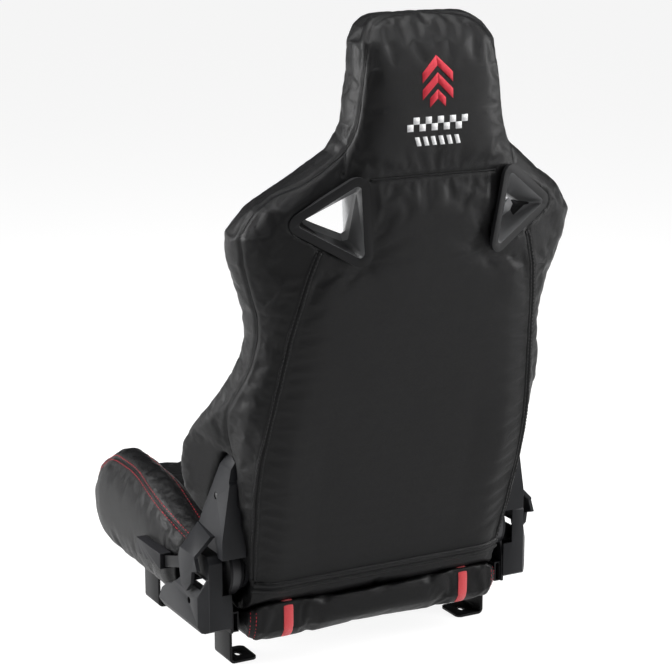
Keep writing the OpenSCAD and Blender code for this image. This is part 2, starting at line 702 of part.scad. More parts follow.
// Slab parallel to the rim, from a to b behind the opening's middle
module harness_slab(a, b) {
    translate(harness_mid) rotate([-harness_tilt, 0, -harness_turn])
        translate([-150, a, -150]) cube([300, b - a, 300]);
}
// Thin slice of the opening at distance d behind its middle
module harness_slice(ring_points, grow, r, d) {
    intersection() {
        harness_prism(ring_points, grow, r);
        harness_slab(d - 0.05, d + 0.05);
    }
}
// Funnels that narrow from the rear rim, and from the front rim, to the throat; grown by e
module rear_funnel(e, inset) {
    hull() {
        harness_slice(harness_rear, e - inset, rim_round - 6, rim_depth);
        harness_slice(harness_throat, e + wall_t, 5, -throat_depth);
    }
}
module front_funnel(e, inset) {
    hull() {
        harness_slice(harness_throat, e + wall_t, 5, -throat_depth);
        harness_slice(harness_front, e - inset, rim_round - 6, -tunnel_depth - 2);
    }
}
module harness_cut() {
    rear_funnel(gap, 7);
    front_funnel(gap, 7);
    intersection() {
        harness_prism(harness_rear, gap, rim_round);
        harness_slab(-1 - gap, 60);
    }
    intersection() {
        harness_prism(harness_front, gap, rim_round);
        harness_slab(-tunnel_depth - 60, -tunnel_depth + 4);
    }
}
module rear_bezel(right) {
    color("#101112") left_right(right) difference() {
        union() {
            intersection() {
                harness_prism(harness_rear, 0, rim_round);
                harness_slab(-1, rim_depth - 1);
            }
            intersection() {
                rear_funnel(0, 7);
                harness_slab(-throat_depth + gap / 2, rim_depth - 2);
            }
        }
        hull() {
            harness_slice(harness_rear, -rim_w, 5, rim_depth);
            harness_slice(harness_step, 0, 2, -step_depth);
        }
        hull() {
            harness_slice(harness_step, 0, 2, -step_depth);
            harness_slice(harness_throat, 0, 2, -throat_depth - 1);
        }
    }
}
module front_bezel(right) {
    color("#101112") left_right(right) difference() {
        union() {
            intersection() {
                harness_prism(harness_front, 0, rim_round);
                harness_slab(-tunnel_depth + 1 - rim_depth, -tunnel_depth + 1);
            }
            intersection() {
                front_funnel(0, 7);
                harness_slab(-tunnel_depth - 1, -throat_depth - gap / 2);
            }
        }
        hull() {
            harness_slice(harness_throat, 0, 2, -throat_depth + 1);
            harness_slice(harness_front, -rim_w + 2, 5, -tunnel_depth - rim_depth);
        }
    }
}

module back_cutouts() {
    both() {
        harness_cut();
        side(spring_x0 - 2, 400) on_pivot() circle(hub_clear, $fn = soft_fn);
        side(upper_x0 - gap, 400) offset(delta = 2) upper_outline();
        side(upper_x1 - 8, 400) offset(delta = 2) shield_outline();
    }
}

module back_cover() {
    color("#141415") soft_body() difference() {
        back_form(0);
        back_form(skin_t);
        back_cutouts();
        both() side(arm_x0 - 0.4, ring_x0 + 0.4) offset(delta = 0.5) arm_outline();
        cross(-400, 400, screw_high[0], screw_high[1], screw_d / 2 + 1, soft_fn);
    }
}

module back_foam() {
    e = 0.4;
    color("#4a4d3f") soft_body() difference() {
        back_form(skin_t);
        back_cutouts();
        cross(-400, 400, pivot_y, pivot_z, torque_r + e, soft_fn);
        cross(-400, 400, screw_high[0], screw_high[1], screw_d / 2 + 1, soft_fn);
        both() {
            side(arm_x0 - e, ring_x0 + e) offset(delta = e) arm_outline();
            upright_axis() translate([0, 0, -2])
                cylinder(r = tube_d / 2 + e, h = upright_len + tube_d / 2, $fn = soft_fn);
        }
        cross(-upright_x, upright_x, tube_y(mid_bar_z), mid_bar_z, hoop_d / 2 + e, soft_fn);
        cross(-arm_x0 - e, arm_x0 + e, bar_at[0], bar_at[1], shoulder_bar_r + e, soft_fn);
        hoop_form(e, bend_fn);
        for (i = [0:3]) let (z = pivot_z + (90 + 42 * i) * k)
            translate([-upright_x, tube_y(z) - 6, z - 12]) cube([2 * upright_x, 8, 24]);
    }
}
// ---------- cushion ----------
len_k = cushion_len / 515;
cw_keys = [[nose_y, cushion_w / 2 - 18], [nose_y + 70, cushion_w / 2], [pivot_y - 125, cushion_w / 2],
    [pivot_y - 56, soft_half], [roll_y - 6, soft_half], [roll_y, soft_half - 4]];
bolster_keys = [[nose_y, seat_z - 20], [nose_y + 30, bolster_z - 38], [nose_y + 130 * len_k, bolster_z],
    [nose_y + 200 * len_k, bolster_z - 6], [pivot_y - 60, pivot_z + 8], [roll_y - 22, pivot_z - 36],
    [roll_y, pivot_z - 46]];
centre_keys = [[nose_y, seat_z - 40], [nose_y + 26, seat_z + 2], [nose_y + 110, seat_z + 4],
    [pivot_y - 120, seat_z - 14], [pivot_y - 60, pivot_z + 2], [roll_y - 22, pivot_z - 36],
    [roll_y, pivot_z - 46]];
under_keys = [[nose_y, side_z0 + 50], [nose_y + 38, side_z0 + 18], [nose_y + 128 * len_k, side_z0],
    [pivot_y - 50, side_z0 - 2], [pivot_y - 20, pivot_z - 104], [roll_y - 12, pivot_z - 106],
    [roll_y, pivot_z - 92]];

// Upright section of the cushion at distance y, moved inward by g
function cushion_section(y, g) =
    let (w = ease(cw_keys, y) - g,
        top = ease(bolster_keys, y) - g,
        mid = ease(centre_keys, y) - g,
        low = ease(under_keys, y) + g,
        peak = w - 26 + 1.8 * g,
        flank = mix(low, top, 0.5))
    [for (p = ring(whole([[0, low], [w * 0.5, low], [w - 22, low], [w - 5, low + 8], [w, flank],
        [w - 4, mix(flank, top, 0.62)], [peak + 8, top - 3], [peak - 14, top],
        [peak - 38, mix(mid, top, 0.68)], [peak - 66, mix(mid, top, 0.12)], [peak * 0.4, mid], [0, mid]]), 2))
        [p[0], y, p[1]]];

module cushion_form(g) {
    steps = 20;
    y0 = nose_y + g;
    y1 = roll_y - g;
    levels = concat([y0, y0 + 5, y0 + 14], [for (i = [1:steps]) mix(y0, y1 - 16, i / steps)],
        [y1 - 9, y1 - 3, y1]);
    difference() {
        loft([for (i = [0:len(levels) - 1]) cushion_section(levels[i], g)]);
        cross(-400, 400, pivot_y, pivot_z, sweep_r + 3 + g, 64);
        // room for the frame beneath, for the rails and brackets, and for the side covers
        translate([-lower_x1 - g, well_y0 - g, -50])
            cube([2 * (lower_x1 + g), well_y1 - well_y0 + 2 * g, pan_z + 50 + g]);
        both() {
            translate([rail_x0 - plate_t - gap - g, well_y0 - g, -50])
                cube([plate_t + rail_t + 2 * (gap + g), 400, pan_z + 50 + g]);
            translate([rail_x1 - 2 - g, pivot_y - 114 - g, -50])
                cube([200, 400, pivot_z + 30 + g]);
        }
    }
}

module cushion_cover() {
    color("#161617") soft_body() difference() {
        cushion_form(0);
        cushion_form(skin_t);
        cross(-400, 400, rear_bar[0], rear_bar[1], cross_d / 2 + 0.4, soft_fn);
    }
}
module cushion_foam() {
    color("#4a4d3f") soft_body() difference() {
        cushion_form(skin_t);
        cross(-400, 400, rear_bar[0], rear_bar[1], cross_d / 2 + 0.4, soft_fn);
    }
}
// Elastic strap wrapped over the rear roll
module roll_strap(right) {
    thick = 1.2;
    color("#c23b45") soft_body() left_right(right) difference() {
        intersection() {
            cushion_form(-thick);
            translate([strap_x - strap_w / 2, pivot_y + 2, 0]) cube([strap_w, 200, 400]);
        }
        cushion_form(0);
    }
}

side_rail(false);  // left_side_rail
side_rail(true);  // right_side_rail
crossbar(front_bar[0], front_bar[1]);  // front_crossbar
crossbar(rear_bar[0], rear_bar[1]);  // rear_crossbar
seat_springs();
bracket(false, false);  // front_left_bracket
bracket(true, false);  // front_right_bracket
bracket(false, true);  // rear_left_bracket
bracket(true, true);  // rear_right_bracket
cushion_foam();
cushion_cover();
roll_strap(false);  // cushion_strap_left
roll_strap(true);  // cushion_strap_right
lower_plate(false);  // left_lower_plate
lower_plate(true);  // right_lower_plate
guide_disc(false);  // left_guide_disc
guide_disc(true);  // right_guide_disc
lower_cover(false);  // left_lower_cover
lower_cover(true);  // right_lower_cover
lower_cover_screws();
spring_pins();
pawl(false, true);  // left_upper_pawl
pawl(false, false);  // left_lower_pawl
pawl(true, true);  // right_upper_pawl
pawl(true, false);  // right_lower_pawl
ring_disc(false);  // left_ring_disc
ring_disc(true);  // right_ring_disc
arm_plate(false);  // left_arm_plate
arm_plate(true);  // right_arm_plate
lower_back_tube();
upright(false);  // left_upright
upright(true);  // right_upright
middle_bar();
shoulder_bar();
headrest_hoop();
back_springs();
back_foam();
back_cover();
rear_bezel(false);  // left_rear_bezel
rear_bezel(true);  // right_rear_bezel
front_bezel(false);  // left_front_bezel
front_bezel(true);  // right_front_bezel
upper_cover(false);  // left_upper_cover
upper_cover(true);  // right_upper_cover
upper_cover_screws();
cam_shaft();
cam(false);  // left_cam
cam(true);  // right_cam
shaft_clip();
lever_arm();
lever_grip();
lever_screw();
clock_spring(false);  // left_clock_spring
clock_spring(true);  // right_clock_spring
lever_return_spring();
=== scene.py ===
# %% [markdown]
# # A reclining racing seat in black leather
# The seat's structure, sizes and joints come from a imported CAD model, which is loaded first and never
# changed. This lesson dresses it. Each soft part gets a skin that swells between its seams, each moulded
# part gets rounded edges, and every finish is made from nodes. Lengths are in metres, +X is the sitter's
# left, +Y the rear and +Z up.

# %% Load the frame
import json
import math

import bmesh
import bpy
import numpy as np
from mathutils import Matrix, Vector
from mathutils.bvhtree import BVHTree
from mathutils.kdtree import KDTree

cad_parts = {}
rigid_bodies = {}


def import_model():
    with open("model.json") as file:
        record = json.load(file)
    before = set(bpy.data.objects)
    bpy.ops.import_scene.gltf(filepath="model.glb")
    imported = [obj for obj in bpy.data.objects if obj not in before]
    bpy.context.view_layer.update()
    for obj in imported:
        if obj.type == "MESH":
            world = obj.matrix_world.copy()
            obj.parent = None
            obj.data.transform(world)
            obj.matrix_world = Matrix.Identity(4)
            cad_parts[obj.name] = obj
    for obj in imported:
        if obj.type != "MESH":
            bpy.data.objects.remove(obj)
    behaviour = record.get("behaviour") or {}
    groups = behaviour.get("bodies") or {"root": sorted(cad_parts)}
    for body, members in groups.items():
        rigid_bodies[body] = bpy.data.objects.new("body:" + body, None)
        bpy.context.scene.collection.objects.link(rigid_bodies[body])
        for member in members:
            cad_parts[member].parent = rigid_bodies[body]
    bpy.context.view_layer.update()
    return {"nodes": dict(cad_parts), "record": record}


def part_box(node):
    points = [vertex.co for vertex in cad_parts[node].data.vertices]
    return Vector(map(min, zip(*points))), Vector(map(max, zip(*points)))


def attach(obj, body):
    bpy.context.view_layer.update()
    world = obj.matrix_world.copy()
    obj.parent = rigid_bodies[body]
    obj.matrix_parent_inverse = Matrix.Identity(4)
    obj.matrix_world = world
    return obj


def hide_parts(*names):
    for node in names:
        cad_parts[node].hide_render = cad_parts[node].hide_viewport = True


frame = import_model()
scene = bpy.context.scene
MM = 0.001

# %% [markdown]
# ## Camera
# A long lens from behind the sitter's left shoulder shows the back panel, the side band, the recliner cover
# and the lever at once, and keeps the sides nearly parallel as in a catalogue picture. The camera is given a
# place and a direction, and Blender's track quaternion turns it so that it stays upright.

# %% Camera
LENS = 111.9
CAMERA_AT = Vector((1.4057, 2.6983, 1.1742))
CAMERA_TOWARDS = Vector((-0.45912, -0.85590, -0.23802))

camera = bpy.data.objects.new("camera", bpy.data.cameras.new("camera"))
camera.data.lens = LENS
camera.location = CAMERA_AT
camera.rotation_euler = CAMERA_TOWARDS.to_track_quat("-Z", "Y").to_euler()
scene.collection.objects.link(camera)
scene.camera = camera
print("camera:", LENS, "mm lens,", round((CAMERA_AT - Vector((0, 0, 0.45))).length, 2), "m from the seat")

# %% [markdown]
# ## Studio
# Black leather is seen mostly by what it mirrors, so the light is a few large soft boxes: two tall ones that
# draw bright edges down the headrest and shoulders, one above, and a weak one by the camera that lifts the
# covers out of the dark. The backdrop is white to the camera and dim to the seat. The floor is a pale sheet.

# %% Studio
scene.view_settings.view_transform = "Standard"
world = bpy.data.worlds.new("studio")
world.use_nodes = True
sky = world.node_tree
lit = sky.nodes["Background"]
lit.inputs["Color"].default_value = (1, 1, 1, 1)
lit.inputs["Strength"].default_value = 0.05
seen = sky.nodes.new("ShaderNodeBackground")
seen.inputs["Color"].default_value = (1, 1, 1, 1)
seen.inputs["Strength"].default_value = 1.0
choice = sky.nodes.new("ShaderNodeMixShader")
sky.links.new(sky.nodes.new("ShaderNodeLightPath").outputs["Is Camera Ray"], choice.inputs[0])
sky.links.new(lit.outputs[0], choice.inputs[1])
sky.links.new(seen.outputs[0], choice.inputs[2])
sky.links.new(choice.outputs[0], sky.nodes["World Output"].inputs["Surface"])
scene.world = world


def soft_box(name, at, aim, size, watts):
    """An area lamp of size (width, height) in metres at a place, turned towards aim."""
    lamp = bpy.data.lights.new(name, "AREA")
    lamp.shape = "RECTANGLE"
    lamp.size, lamp.size_y = size
    lamp.energy = watts
    lamp_object = bpy.data.objects.new(name, lamp)
    lamp_object.location = at
    lamp_object.rotation_euler = (Vector(aim) - Vector(at)).to_track_quat("-Z", "Y").to_euler()
    scene.collection.objects.link(lamp_object)


soft_box("left_box", (2.2, -0.9, 1.3), (0, 0.2, 0.6), (0.8, 1.9), 135)
soft_box("right_box", (-2.0, 1.3, 1.3), (0, 0.2, 0.6), (0.6, 1.9), 80)
soft_box("top_box", (0.1, 0.4, 2.7), (0, 0.1, 0.4), (1.8, 1.4), 90)
soft_box("camera_box", (2.9, 1.6, 1.5), (0, 0.2, 0.3), (0.9, 0.9), 14)
print("studio: 4 soft boxes")

# %% [markdown]
# ## Shader maths
# A node tree is easier to read as a formula. One small class wraps an output socket, so that `1 - mask` or
# `height * 0.5` adds the Math node by itself. Colours and vectors go through Mix and Vector Math instead,
# because a Math node turns a colour grey. Any other node comes from `Finish.add`, which takes the node's
# type, its settings and the values or links of its sockets.


# %% Sockets as numbers
class Wire:
    def __init__(self, finish, socket):
        self.finish = finish
        self.socket = socket

    def maths(self, operation, a, b=0.0, c=0.0):
        return self.finish.add("ShaderNodeMath", {"operation": operation}, {0: a, 1: b, 2: c})

    def __add__(self, other):
        return self.maths("ADD", self, other)

    def __radd__(self, other):
        return self.maths("ADD", other, self)

    def __sub__(self, other):
        return self.maths("SUBTRACT", self, other)

    def __rsub__(self, other):
        return self.maths("SUBTRACT", other, self)

    def __mul__(self, other):
        return self.maths("MULTIPLY", self, other)

    def __truediv__(self, other):
        return self.maths("DIVIDE", self, other)

    def wave(self):
        return self.maths("SINE", self)

    def size(self):
        return self.maths("ABSOLUTE", self)

    def wrapped(self, period):
        return self.maths("PINGPONG", self, period)

    def between(self, low, high):
        return self.finish.add(
            "ShaderNodeMapRange",
            {"interpolation_type": "SMOOTHSTEP"},
            {"Value": self, "From Min": low, "From Max": high},
        )


class Finish:
    """A material under construction. Its shader's constants are set on the sockets themselves."""

    def __init__(self, name, colour, roughness, metallic=0.0, **constants):
        self.material = bpy.data.materials.new(name)
        self.material.use_nodes = True
        self.tree = self.material.node_tree
        self.shader = self.tree.nodes["Principled BSDF"]
        self.shader.inputs["Base Color"].default_value = (*colour, 1)
        self.shader.inputs["Roughness"].default_value = roughness
        self.shader.inputs["Metallic"].default_value = metallic
        for socket, value in constants.items():
            self.shader.inputs[socket.replace("_", " ")].default_value = value

    def put(self, socket, value):
        if isinstance(value, Wire):
            self.tree.links.new(value.socket, socket)
        else:
            socket.default_value = value

    def add(self, kind, settings=None, sockets=None, output=0):
        node = self.tree.nodes.new(kind)
        for name, value in (settings or {}).items():
            setattr(node, name, value)
        for key, value in (sockets or {}).items():
            self.put(node.inputs[key], value)
        return Wire(self, node.outputs[output])

    def feed(self, socket, value):
        self.put(self.shader.inputs[socket], value)

    def place(self):
        """Object coordinates, in metres."""
        return self.add("ShaderNodeTexCoord", output="Object")

    def parts(self, vector):
        """The x, y and z of a vector, each as a number."""
        split = self.tree.nodes.new("ShaderNodeSeparateXYZ")
        self.put(split.inputs[0], vector)
        return [Wire(self, output) for output in split.outputs]

    def stretched(self, vector, scale):
        return self.add("ShaderNodeVectorMath", {"operation": "MULTIPLY"}, {0: vector, 1: scale})

    def noise(self, vector, scale, detail=3.0, rough=0.5):
        return self.add(
            "ShaderNodeTexNoise",
            sockets={"Vector": vector, "Scale": scale, "Detail": detail, "Roughness": rough},
        )

    def cells(self, vector, scale):
        """Distance to the nearest edge between cells."""
        settings = {"feature": "DISTANCE_TO_EDGE"}
        return self.add("ShaderNodeTexVoronoi", settings, {"Vector": vector, "Scale": scale})

    def blend(self, share, a, b):
        """Colour a where share is 0, colour b where it is 1."""
        mixed = self.tree.nodes.new("ShaderNodeMix")
        mixed.data_type = "RGBA"
        self.put(mixed.inputs[0], share)
        for socket, colour in ((mixed.inputs[6], a), (mixed.inputs[7], b)):
            self.put(socket, colour if isinstance(colour, Wire) else (*colour, 1))
        return Wire(self, mixed.outputs[2])

    def relief(self, *layers):
        """Bump layers of (height, depth in metres), each on top of the one before."""
        normal = None
        for height, depth in layers:
            sockets = {"Height": height, "Distance": depth}
            if normal is not None:
                sockets["Normal"] = normal
            normal = self.add("ShaderNodeBump", sockets=sockets)
        self.feed("Normal", normal)


print("shader maths: ready")

# %% [markdown]
# ## Leather
# The hide is a satin black synthetic leather. Close up it is a net of soft pebbles about 1.5 mm across with
# fine creases between them. Voronoi cells warped by a little noise give the pebbles, a slow noise makes the
# gloss uneven as handling does, and a broad shallow noise stands for the foam pulling under the hide.

# %% Leather
LEATHER = (0.0030, 0.0030, 0.0033)
LEATHER_SHINE = 0.15
PEBBLES = 620
CREASE = 0.16
CREASE_DEPTH = 0.00011
HOLE_PITCH = 0.005


def leather(name, colour=LEATHER, gloss=0.36):
    hide = Finish(name, colour, gloss, Specular_IOR_Level=LEATHER_SHINE)
    at = hide.place()
    warp = hide.noise(at, 260, 2.0)
    wobble = hide.add("ShaderNodeTexNoise", sockets={"Vector": at, "Scale": 420.0}, output="Color")
    nudge = hide.stretched(wobble, (0.0009,) * 3)
    bent = hide.add("ShaderNodeVectorMath", {"operation": "ADD"}, {0: at, 1: nudge})
    creases = hide.cells(bent, PEBBLES).between(0.0, CREASE)
    pull = hide.noise(at, 9, 2.0)
    # The creases are painted 0.6 times darker than the hide, as painted shade in them; the same mask sets
    # roughness and bump.
    hide.feed("Base Color", hide.blend(creases, tuple(0.6 * c for c in colour), colour))
    hide.feed("Roughness", gloss - 0.05 + hide.noise(at, 14, 4.0) * 0.10 + (1 - creases) * 0.12)
    hide.relief((pull, 0.0016), (warp, 0.00012), (creases, CREASE_DEPTH))
    return hide.material


def perforated(name):
    """The seating panels' leather, with rows of small holes 5 mm apart."""
    hide = Finish(name, LEATHER, 0.46, Specular_IOR_Level=LEATHER_SHINE)
    across, _, up = hide.parts(hide.place())
    rows = (across / HOLE_PITCH).wrapped(0.5)
    columns = (up / HOLE_PITCH).wrapped(0.5)
    spot = hide.add("ShaderNodeMath", {"operation": "SQRT"}, {0: rows * rows + columns * columns})
    solid = spot.between(0.10, 0.17)
    grain = hide.cells(hide.place(), PEBBLES).between(0.0, CREASE)
    # The holes are painted near-black, as painted shade inside them.
    hide.feed("Base Color", hide.blend(solid, (0.001, 0.001, 0.001), LEATHER))
    hide.feed("Roughness", 0.86 - solid * 0.42 + (1 - grain) * 0.1)
    hide.relief((solid, 0.0007), (grain, CREASE_DEPTH))
    return hide.material


BLACK_LEATHER = leather("black_leather")
PANEL_LEATHER = perforated("perforated_leather")
WELT_LEATHER = leather("welt_leather", gloss=0.34)
print("leather:", BLACK_LEATHER.name, PANEL_LEATHER.name, WELT_LEATHER.name)

# %% [markdown]
# ## Plastics, metals and thread
# The covers are moulded with a fine spark texture, the trim round the harness openings is smoother, and the
# feet are powder coated, which leaves a slight orange peel. Thread and elastic are cloth: a fine rib across
# them and hardly any gloss.


# %% Plastics and metals
def textured(name, colour, gloss, grain, depth, metallic=0.0, specular=0.5):
    """A surface with an even fine texture, slightly patchy in gloss."""
    shell = Finish(name, colour, gloss, metallic, Specular_IOR_Level=specular)
    at = shell.place()
    speckle = shell.noise(at, grain, 2.0, 0.6)
    patches = shell.noise(at, 22, 4.0)
    paler = tuple(1.25 * c for c in colour)
    shell.feed("Base Color", shell.blend(patches.between(0.35, 0.75), colour, paler))
    shell.feed("Roughness", gloss - 0.05 + speckle * 0.06 + patches * 0.06)
    shell.relief((speckle, depth))
    return shell.material


COVER_PLASTIC = textured("cover_plastic", (0.010, 0.0103, 0.0115), 0.46, 1100, 0.00010, specular=0.13)
GRIP_PLASTIC = textured("grip_plastic", (0.008, 0.008, 0.009), 0.46, 900, 0.00014, specular=0.14)
RIM_PLASTIC = textured("harness_trim", (0.005, 0.005, 0.0055), 0.55, 1000, 0.00006, specular=0.18)
# The throat and step greys are painted reflection and painted light: the lit insides of the same black
# harness trim.
THROAT_PAINTED_REFLECTION = textured("harness_throat", (0.085, 0.086, 0.088), 0.40, 800, 0.00005, specular=0.5)
STEP_PAINTED_LIGHT = textured("harness_step", (0.26, 0.262, 0.266), 0.42, 800, 0.00005)
POWDER_COAT = textured("black_powder_coat", (0.005, 0.005, 0.0054), 0.40, 700, 0.00008, specular=0.14)
FRAME_STEEL = textured("frame_steel", (0.010, 0.010, 0.011), 0.45, 500, 0.00006, specular=0.12)
BLACK_SCREW = textured("black_screws", (0.006, 0.006, 0.0065), 0.32, 900, 0.00003, specular=0.3)
BRIGHT_STEEL = textured("bright_steel", (0.50, 0.51, 0.53), 0.34, 600, 0.00003, metallic=0.9)
OILED_STEEL = textured("oiled_steel", (0.020, 0.020, 0.022), 0.40, 600, 0.00003, metallic=0.3)
FOAM = textured("foam", (0.19, 0.19, 0.16), 0.90, 500, 0.0004)
print("plastics and metals: ready")


# %% Thread and elastic
def thread(name, colour):
    """Twisted thread: fine ribs along all three axes, so they show whichever way a stitch lies."""
    yarn = Finish(name, colour, 0.62, Specular_IOR_Level=0.3)
    x, y, z = yarn.parts(yarn.place())
    ply = ((x + y * 0.7 + z) * 7000.0).wave()
    # The grooves between the plies are painted darker, 0.55 times the thread's colour, as painted shade.
    yarn.feed("Base Color", yarn.blend(ply.between(-1.0, 0.6), tuple(0.55 * c for c in colour), colour))
    yarn.relief((ply, 0.0001))
    return yarn.material


def elastic(name, colour):
    """Ribbed elastic webbing, woven across the strap and stretched along it."""
    band = Finish(name, colour, 0.75, Specular_IOR_Level=0.2, Sheen_Weight=0.3, Sheen_Roughness=0.5)
    across, length, _ = band.parts(band.add("ShaderNodeUVMap", {"uv_map": "along"}))
    ribs = (across * 3900.0).wave()
    picks = (length * 5200.0).wave()
    weave = ribs * 0.6 + picks * ribs.size() * 0.4
    shade = band.noise(band.place(), 60, 3.0)
    # The weave's troughs are painted darker, as painted shade; the slow noise adds random tone.
    deep = tuple(0.72 * c for c in colour)
    band.feed("Base Color", band.blend((weave * 0.5 + 0.5) * 0.6 + shade * 0.4, deep, colour))
    band.relief((weave, 0.00035))
    return band.material


BLACK_THREAD = thread("black_thread", (0.014, 0.014, 0.015))
RED_THREAD = thread("red_thread", (0.55, 0.016, 0.035))
WHITE_THREAD = thread("white_thread", (0.75, 0.75, 0.76))
RED_ELASTIC = elastic("red_elastic", (0.62, 0.045, 0.055))
print("thread and elastic: 4 finishes")

# %% [markdown]
# ## Skins over foam
# A leather cover is a bag pulled over foam: it swells a little between its seams and is tight along them.
# The CAD gives the foam and its thin cover as plain solids. Here both are copied and remeshed as one closed
# body, the frame's pockets are plugged so that only the outside is left, and cloth under gentle pressure
# swells it while the seams and everything under the plastic stay pinned. The travel of each point is capped,
# so that the pad keeps its size.


# %% One closed body from CAD nodes
def mesh_object(name, bm, *materials):
    mesh = bpy.data.meshes.new(name)
    bm.to_mesh(mesh)
    bm.free()
    piece = bpy.data.objects.new(name, mesh)
    for material in materials:
        mesh.materials.append(material)
    scene.collection.objects.link(piece)
    return piece


def merged_copy(node):
    bm = bmesh.new()
    bm.from_mesh(frame["nodes"][node].data)
    bmesh.ops.remove_doubles(bm, verts=bm.verts, dist=0.000002)
    return bm


def plug(node):
    """The convex hull of a node: a tube without its bore, or a row of springs as a block."""
    bm = merged_copy(node)
    hull = bmesh.ops.convex_hull(bm, input=bm.verts, use_existing_faces=False)
    inside = hull["geom_interior"] + hull["geom_unused"]
    spare = {g for g in inside if isinstance(g, bmesh.types.BMVert)}
    bmesh.ops.delete(bm, geom=list(spare), context="VERTS")
    shell = set(hull["geom"])
    bmesh.ops.delete(bm, geom=[f for f in bm.faces if f not in shell], context="FACES_ONLY")
    return bm


def baked(piece):
    """Applies a piece's modifiers."""
    graph = bpy.context.evaluated_depsgraph_get()
    mesh = bpy.data.meshes.new_from_object(piece.evaluated_get(graph), depsgraph=graph)
    piece.modifiers.clear()
    piece.data = mesh
    return piece


def closed_body(name, nodes, plugs, voxel):
    whole = bmesh.new()
    for part in [merged_copy(n) for n in nodes] + [plug(n) for n in plugs]:
        step = bpy.data.meshes.new("step")
        part.to_mesh(step)
        part.free()
        whole.from_mesh(step)
        bpy.data.meshes.remove(step)
    piece = mesh_object(name, whole)
    remesh = piece.modifiers.new("remesh", "REMESH")
    remesh.mode = "VOXEL"
    remesh.voxel_size = voxel
    baked(piece)
    print(name, "closed body:", len(piece.data.vertices), "points")
    return piece


# %% Points and normals of a mesh as arrays
def points_of(mesh):
    flat = np.empty(len(mesh.vertices) * 3, np.float32)
    mesh.vertices.foreach_get("co", flat)
    return flat.reshape(-1, 3).astype(float)


def normals_of(mesh):
    flat = np.empty(len(mesh.vertices) * 3, np.float32)
    mesh.vertex_normals.foreach_get("vector", flat)
    return flat.reshape(-1, 3).astype(float)


def move_points(mesh, points):
    mesh.vertices.foreach_set("co", points.astype(np.float32).ravel())
    mesh.update()


def tree_of(piece):
    bm = bmesh.new()
    bm.from_mesh(piece.data)
    tree = BVHTree.FromBMesh(bm)
    bm.free()
    return tree


# %% [markdown]
# ## Seams
# A seam is a line of a few points that the maker would chalk on the pad. `Seam` draws a smooth curve through
# them, lays it on the skin, and can then press a groove into the mesh, leave a fine cord of folded leather in
# it, and run rows of stitches beside it. Each is real geometry, so it is still there after the export.


# %% A line laid on the skin
def curve_through(points, step):
    """Catmull-Rom curve through the points, with one point per step."""
    p = [Vector(q) for q in points]
    p = [2 * p[0] - p[1]] + p + [2 * p[-1] - p[-2]]
    out = []
    for a, b, c, d in zip(p, p[1:], p[2:], p[3:]):
        count = max(1, round((c - b).length / step))
        for i in range(count):
            t = i / count
            out.append(0.5 * (2 * b + (c - a) * t + (2 * a - 5 * b + 4 * c - d) * t * t
                              + (3 * b - a - 3 * c + d) * t**3))
    return out + [p[-2]]


class Seam:
    STEP = 0.003

    def __init__(self, tree, points_mm, mirrored=False):
        flip = -1 if mirrored else 1
        chalk = curve_through([(flip * x * MM, y * MM, z * MM) for x, y, z in points_mm], self.STEP)
        self.tree = tree
        self.lay(chalk)

    def lay(self, chalk):
        found = [self.tree.find_nearest(p) for p in chalk]
        self.points = self.smoothed([Vector(f[0]) for f in found], 8)
        self.normals = [n.normalized() for n in self.smoothed([Vector(f[1]) for f in found], 14)]
        ahead = self.points[1:] + [2 * self.points[-1] - self.points[-2]]
        behind = [2 * self.points[0] - self.points[1]] + self.points[:-1]
        self.ways = [(a - b).normalized() for a, b in zip(ahead, behind)]

    @staticmethod
    def smoothed(values, passes):
        for _ in range(passes):
            inner = [(a + 2 * b + c) / 4 for a, b, c in zip(values, values[1:], values[2:])]
            values = [values[0]] + inner + [values[-1]]
        return values

    def beside(self, offset):
        """The same line moved sideways over the skin."""
        other = Seam.__new__(Seam)
        other.tree = self.tree
        other.lay([p + w.cross(n) * offset for p, n, w in zip(self.points, self.normals, self.ways)])
        return other


def distance_to(points, seams):
    """Distance from each point to the nearest of the seams' points, in metres."""
    chain = [q for seam in seams for q in seam.points]
    tree = KDTree(len(chain))
    for i, q in enumerate(chain):
        tree.insert(q, i)
    tree.balance()
    return np.array([tree.find(p)[2] for p in points])


# %% Cloth under pressure
PRESSURE = 4.0
SWELL_CAP = 0.006
SWELL_FRAMES = 20


def swell(piece, held):
    """Swells a closed skin. held is 1 where it is pinned, and no point moves further than SWELL_CAP."""
    rest = points_of(piece.data)
    group = piece.vertex_groups.new(name="held")
    for level in np.unique(np.round(held, 1)):
        group.add(np.flatnonzero(np.round(held, 1) == level).tolist(), float(level), "REPLACE")
    cloth = piece.modifiers.new("cloth", "CLOTH")
    cloth.settings.use_pressure = True
    cloth.settings.uniform_pressure_force = PRESSURE
    cloth.settings.vertex_group_mass = "held"
    cloth.settings.tension_stiffness = 12
    cloth.settings.bending_stiffness = 0.8
    cloth.settings.shrink_min = -0.02
    cloth.settings.quality = 4
    cloth.settings.effector_weights.gravity = 0
    cloth.collision_settings.use_collision = False
    for f in range(1, SWELL_FRAMES + 1):
        scene.frame_set(f)
    graph = bpy.context.evaluated_depsgraph_get()
    moved = points_of(piece.evaluated_get(graph).data) - rest
    piece.modifiers.clear()
    piece.vertex_groups.clear()
    scene.frame_set(1)
    travel = np.linalg.norm(moved, axis=1, keepdims=True)
    capped = SWELL_CAP * np.tanh(travel / SWELL_CAP)
    move_points(piece.data, rest + moved * (capped / np.maximum(travel, 1e-9)))
    print(piece.name, "swelled by up to", round(1000 * float(capped.max()), 1), "mm")


def finer(piece):
    level = piece.modifiers.new("finer", "SUBSURF")
    level.levels = level.render_levels = 1
    return baked(piece)


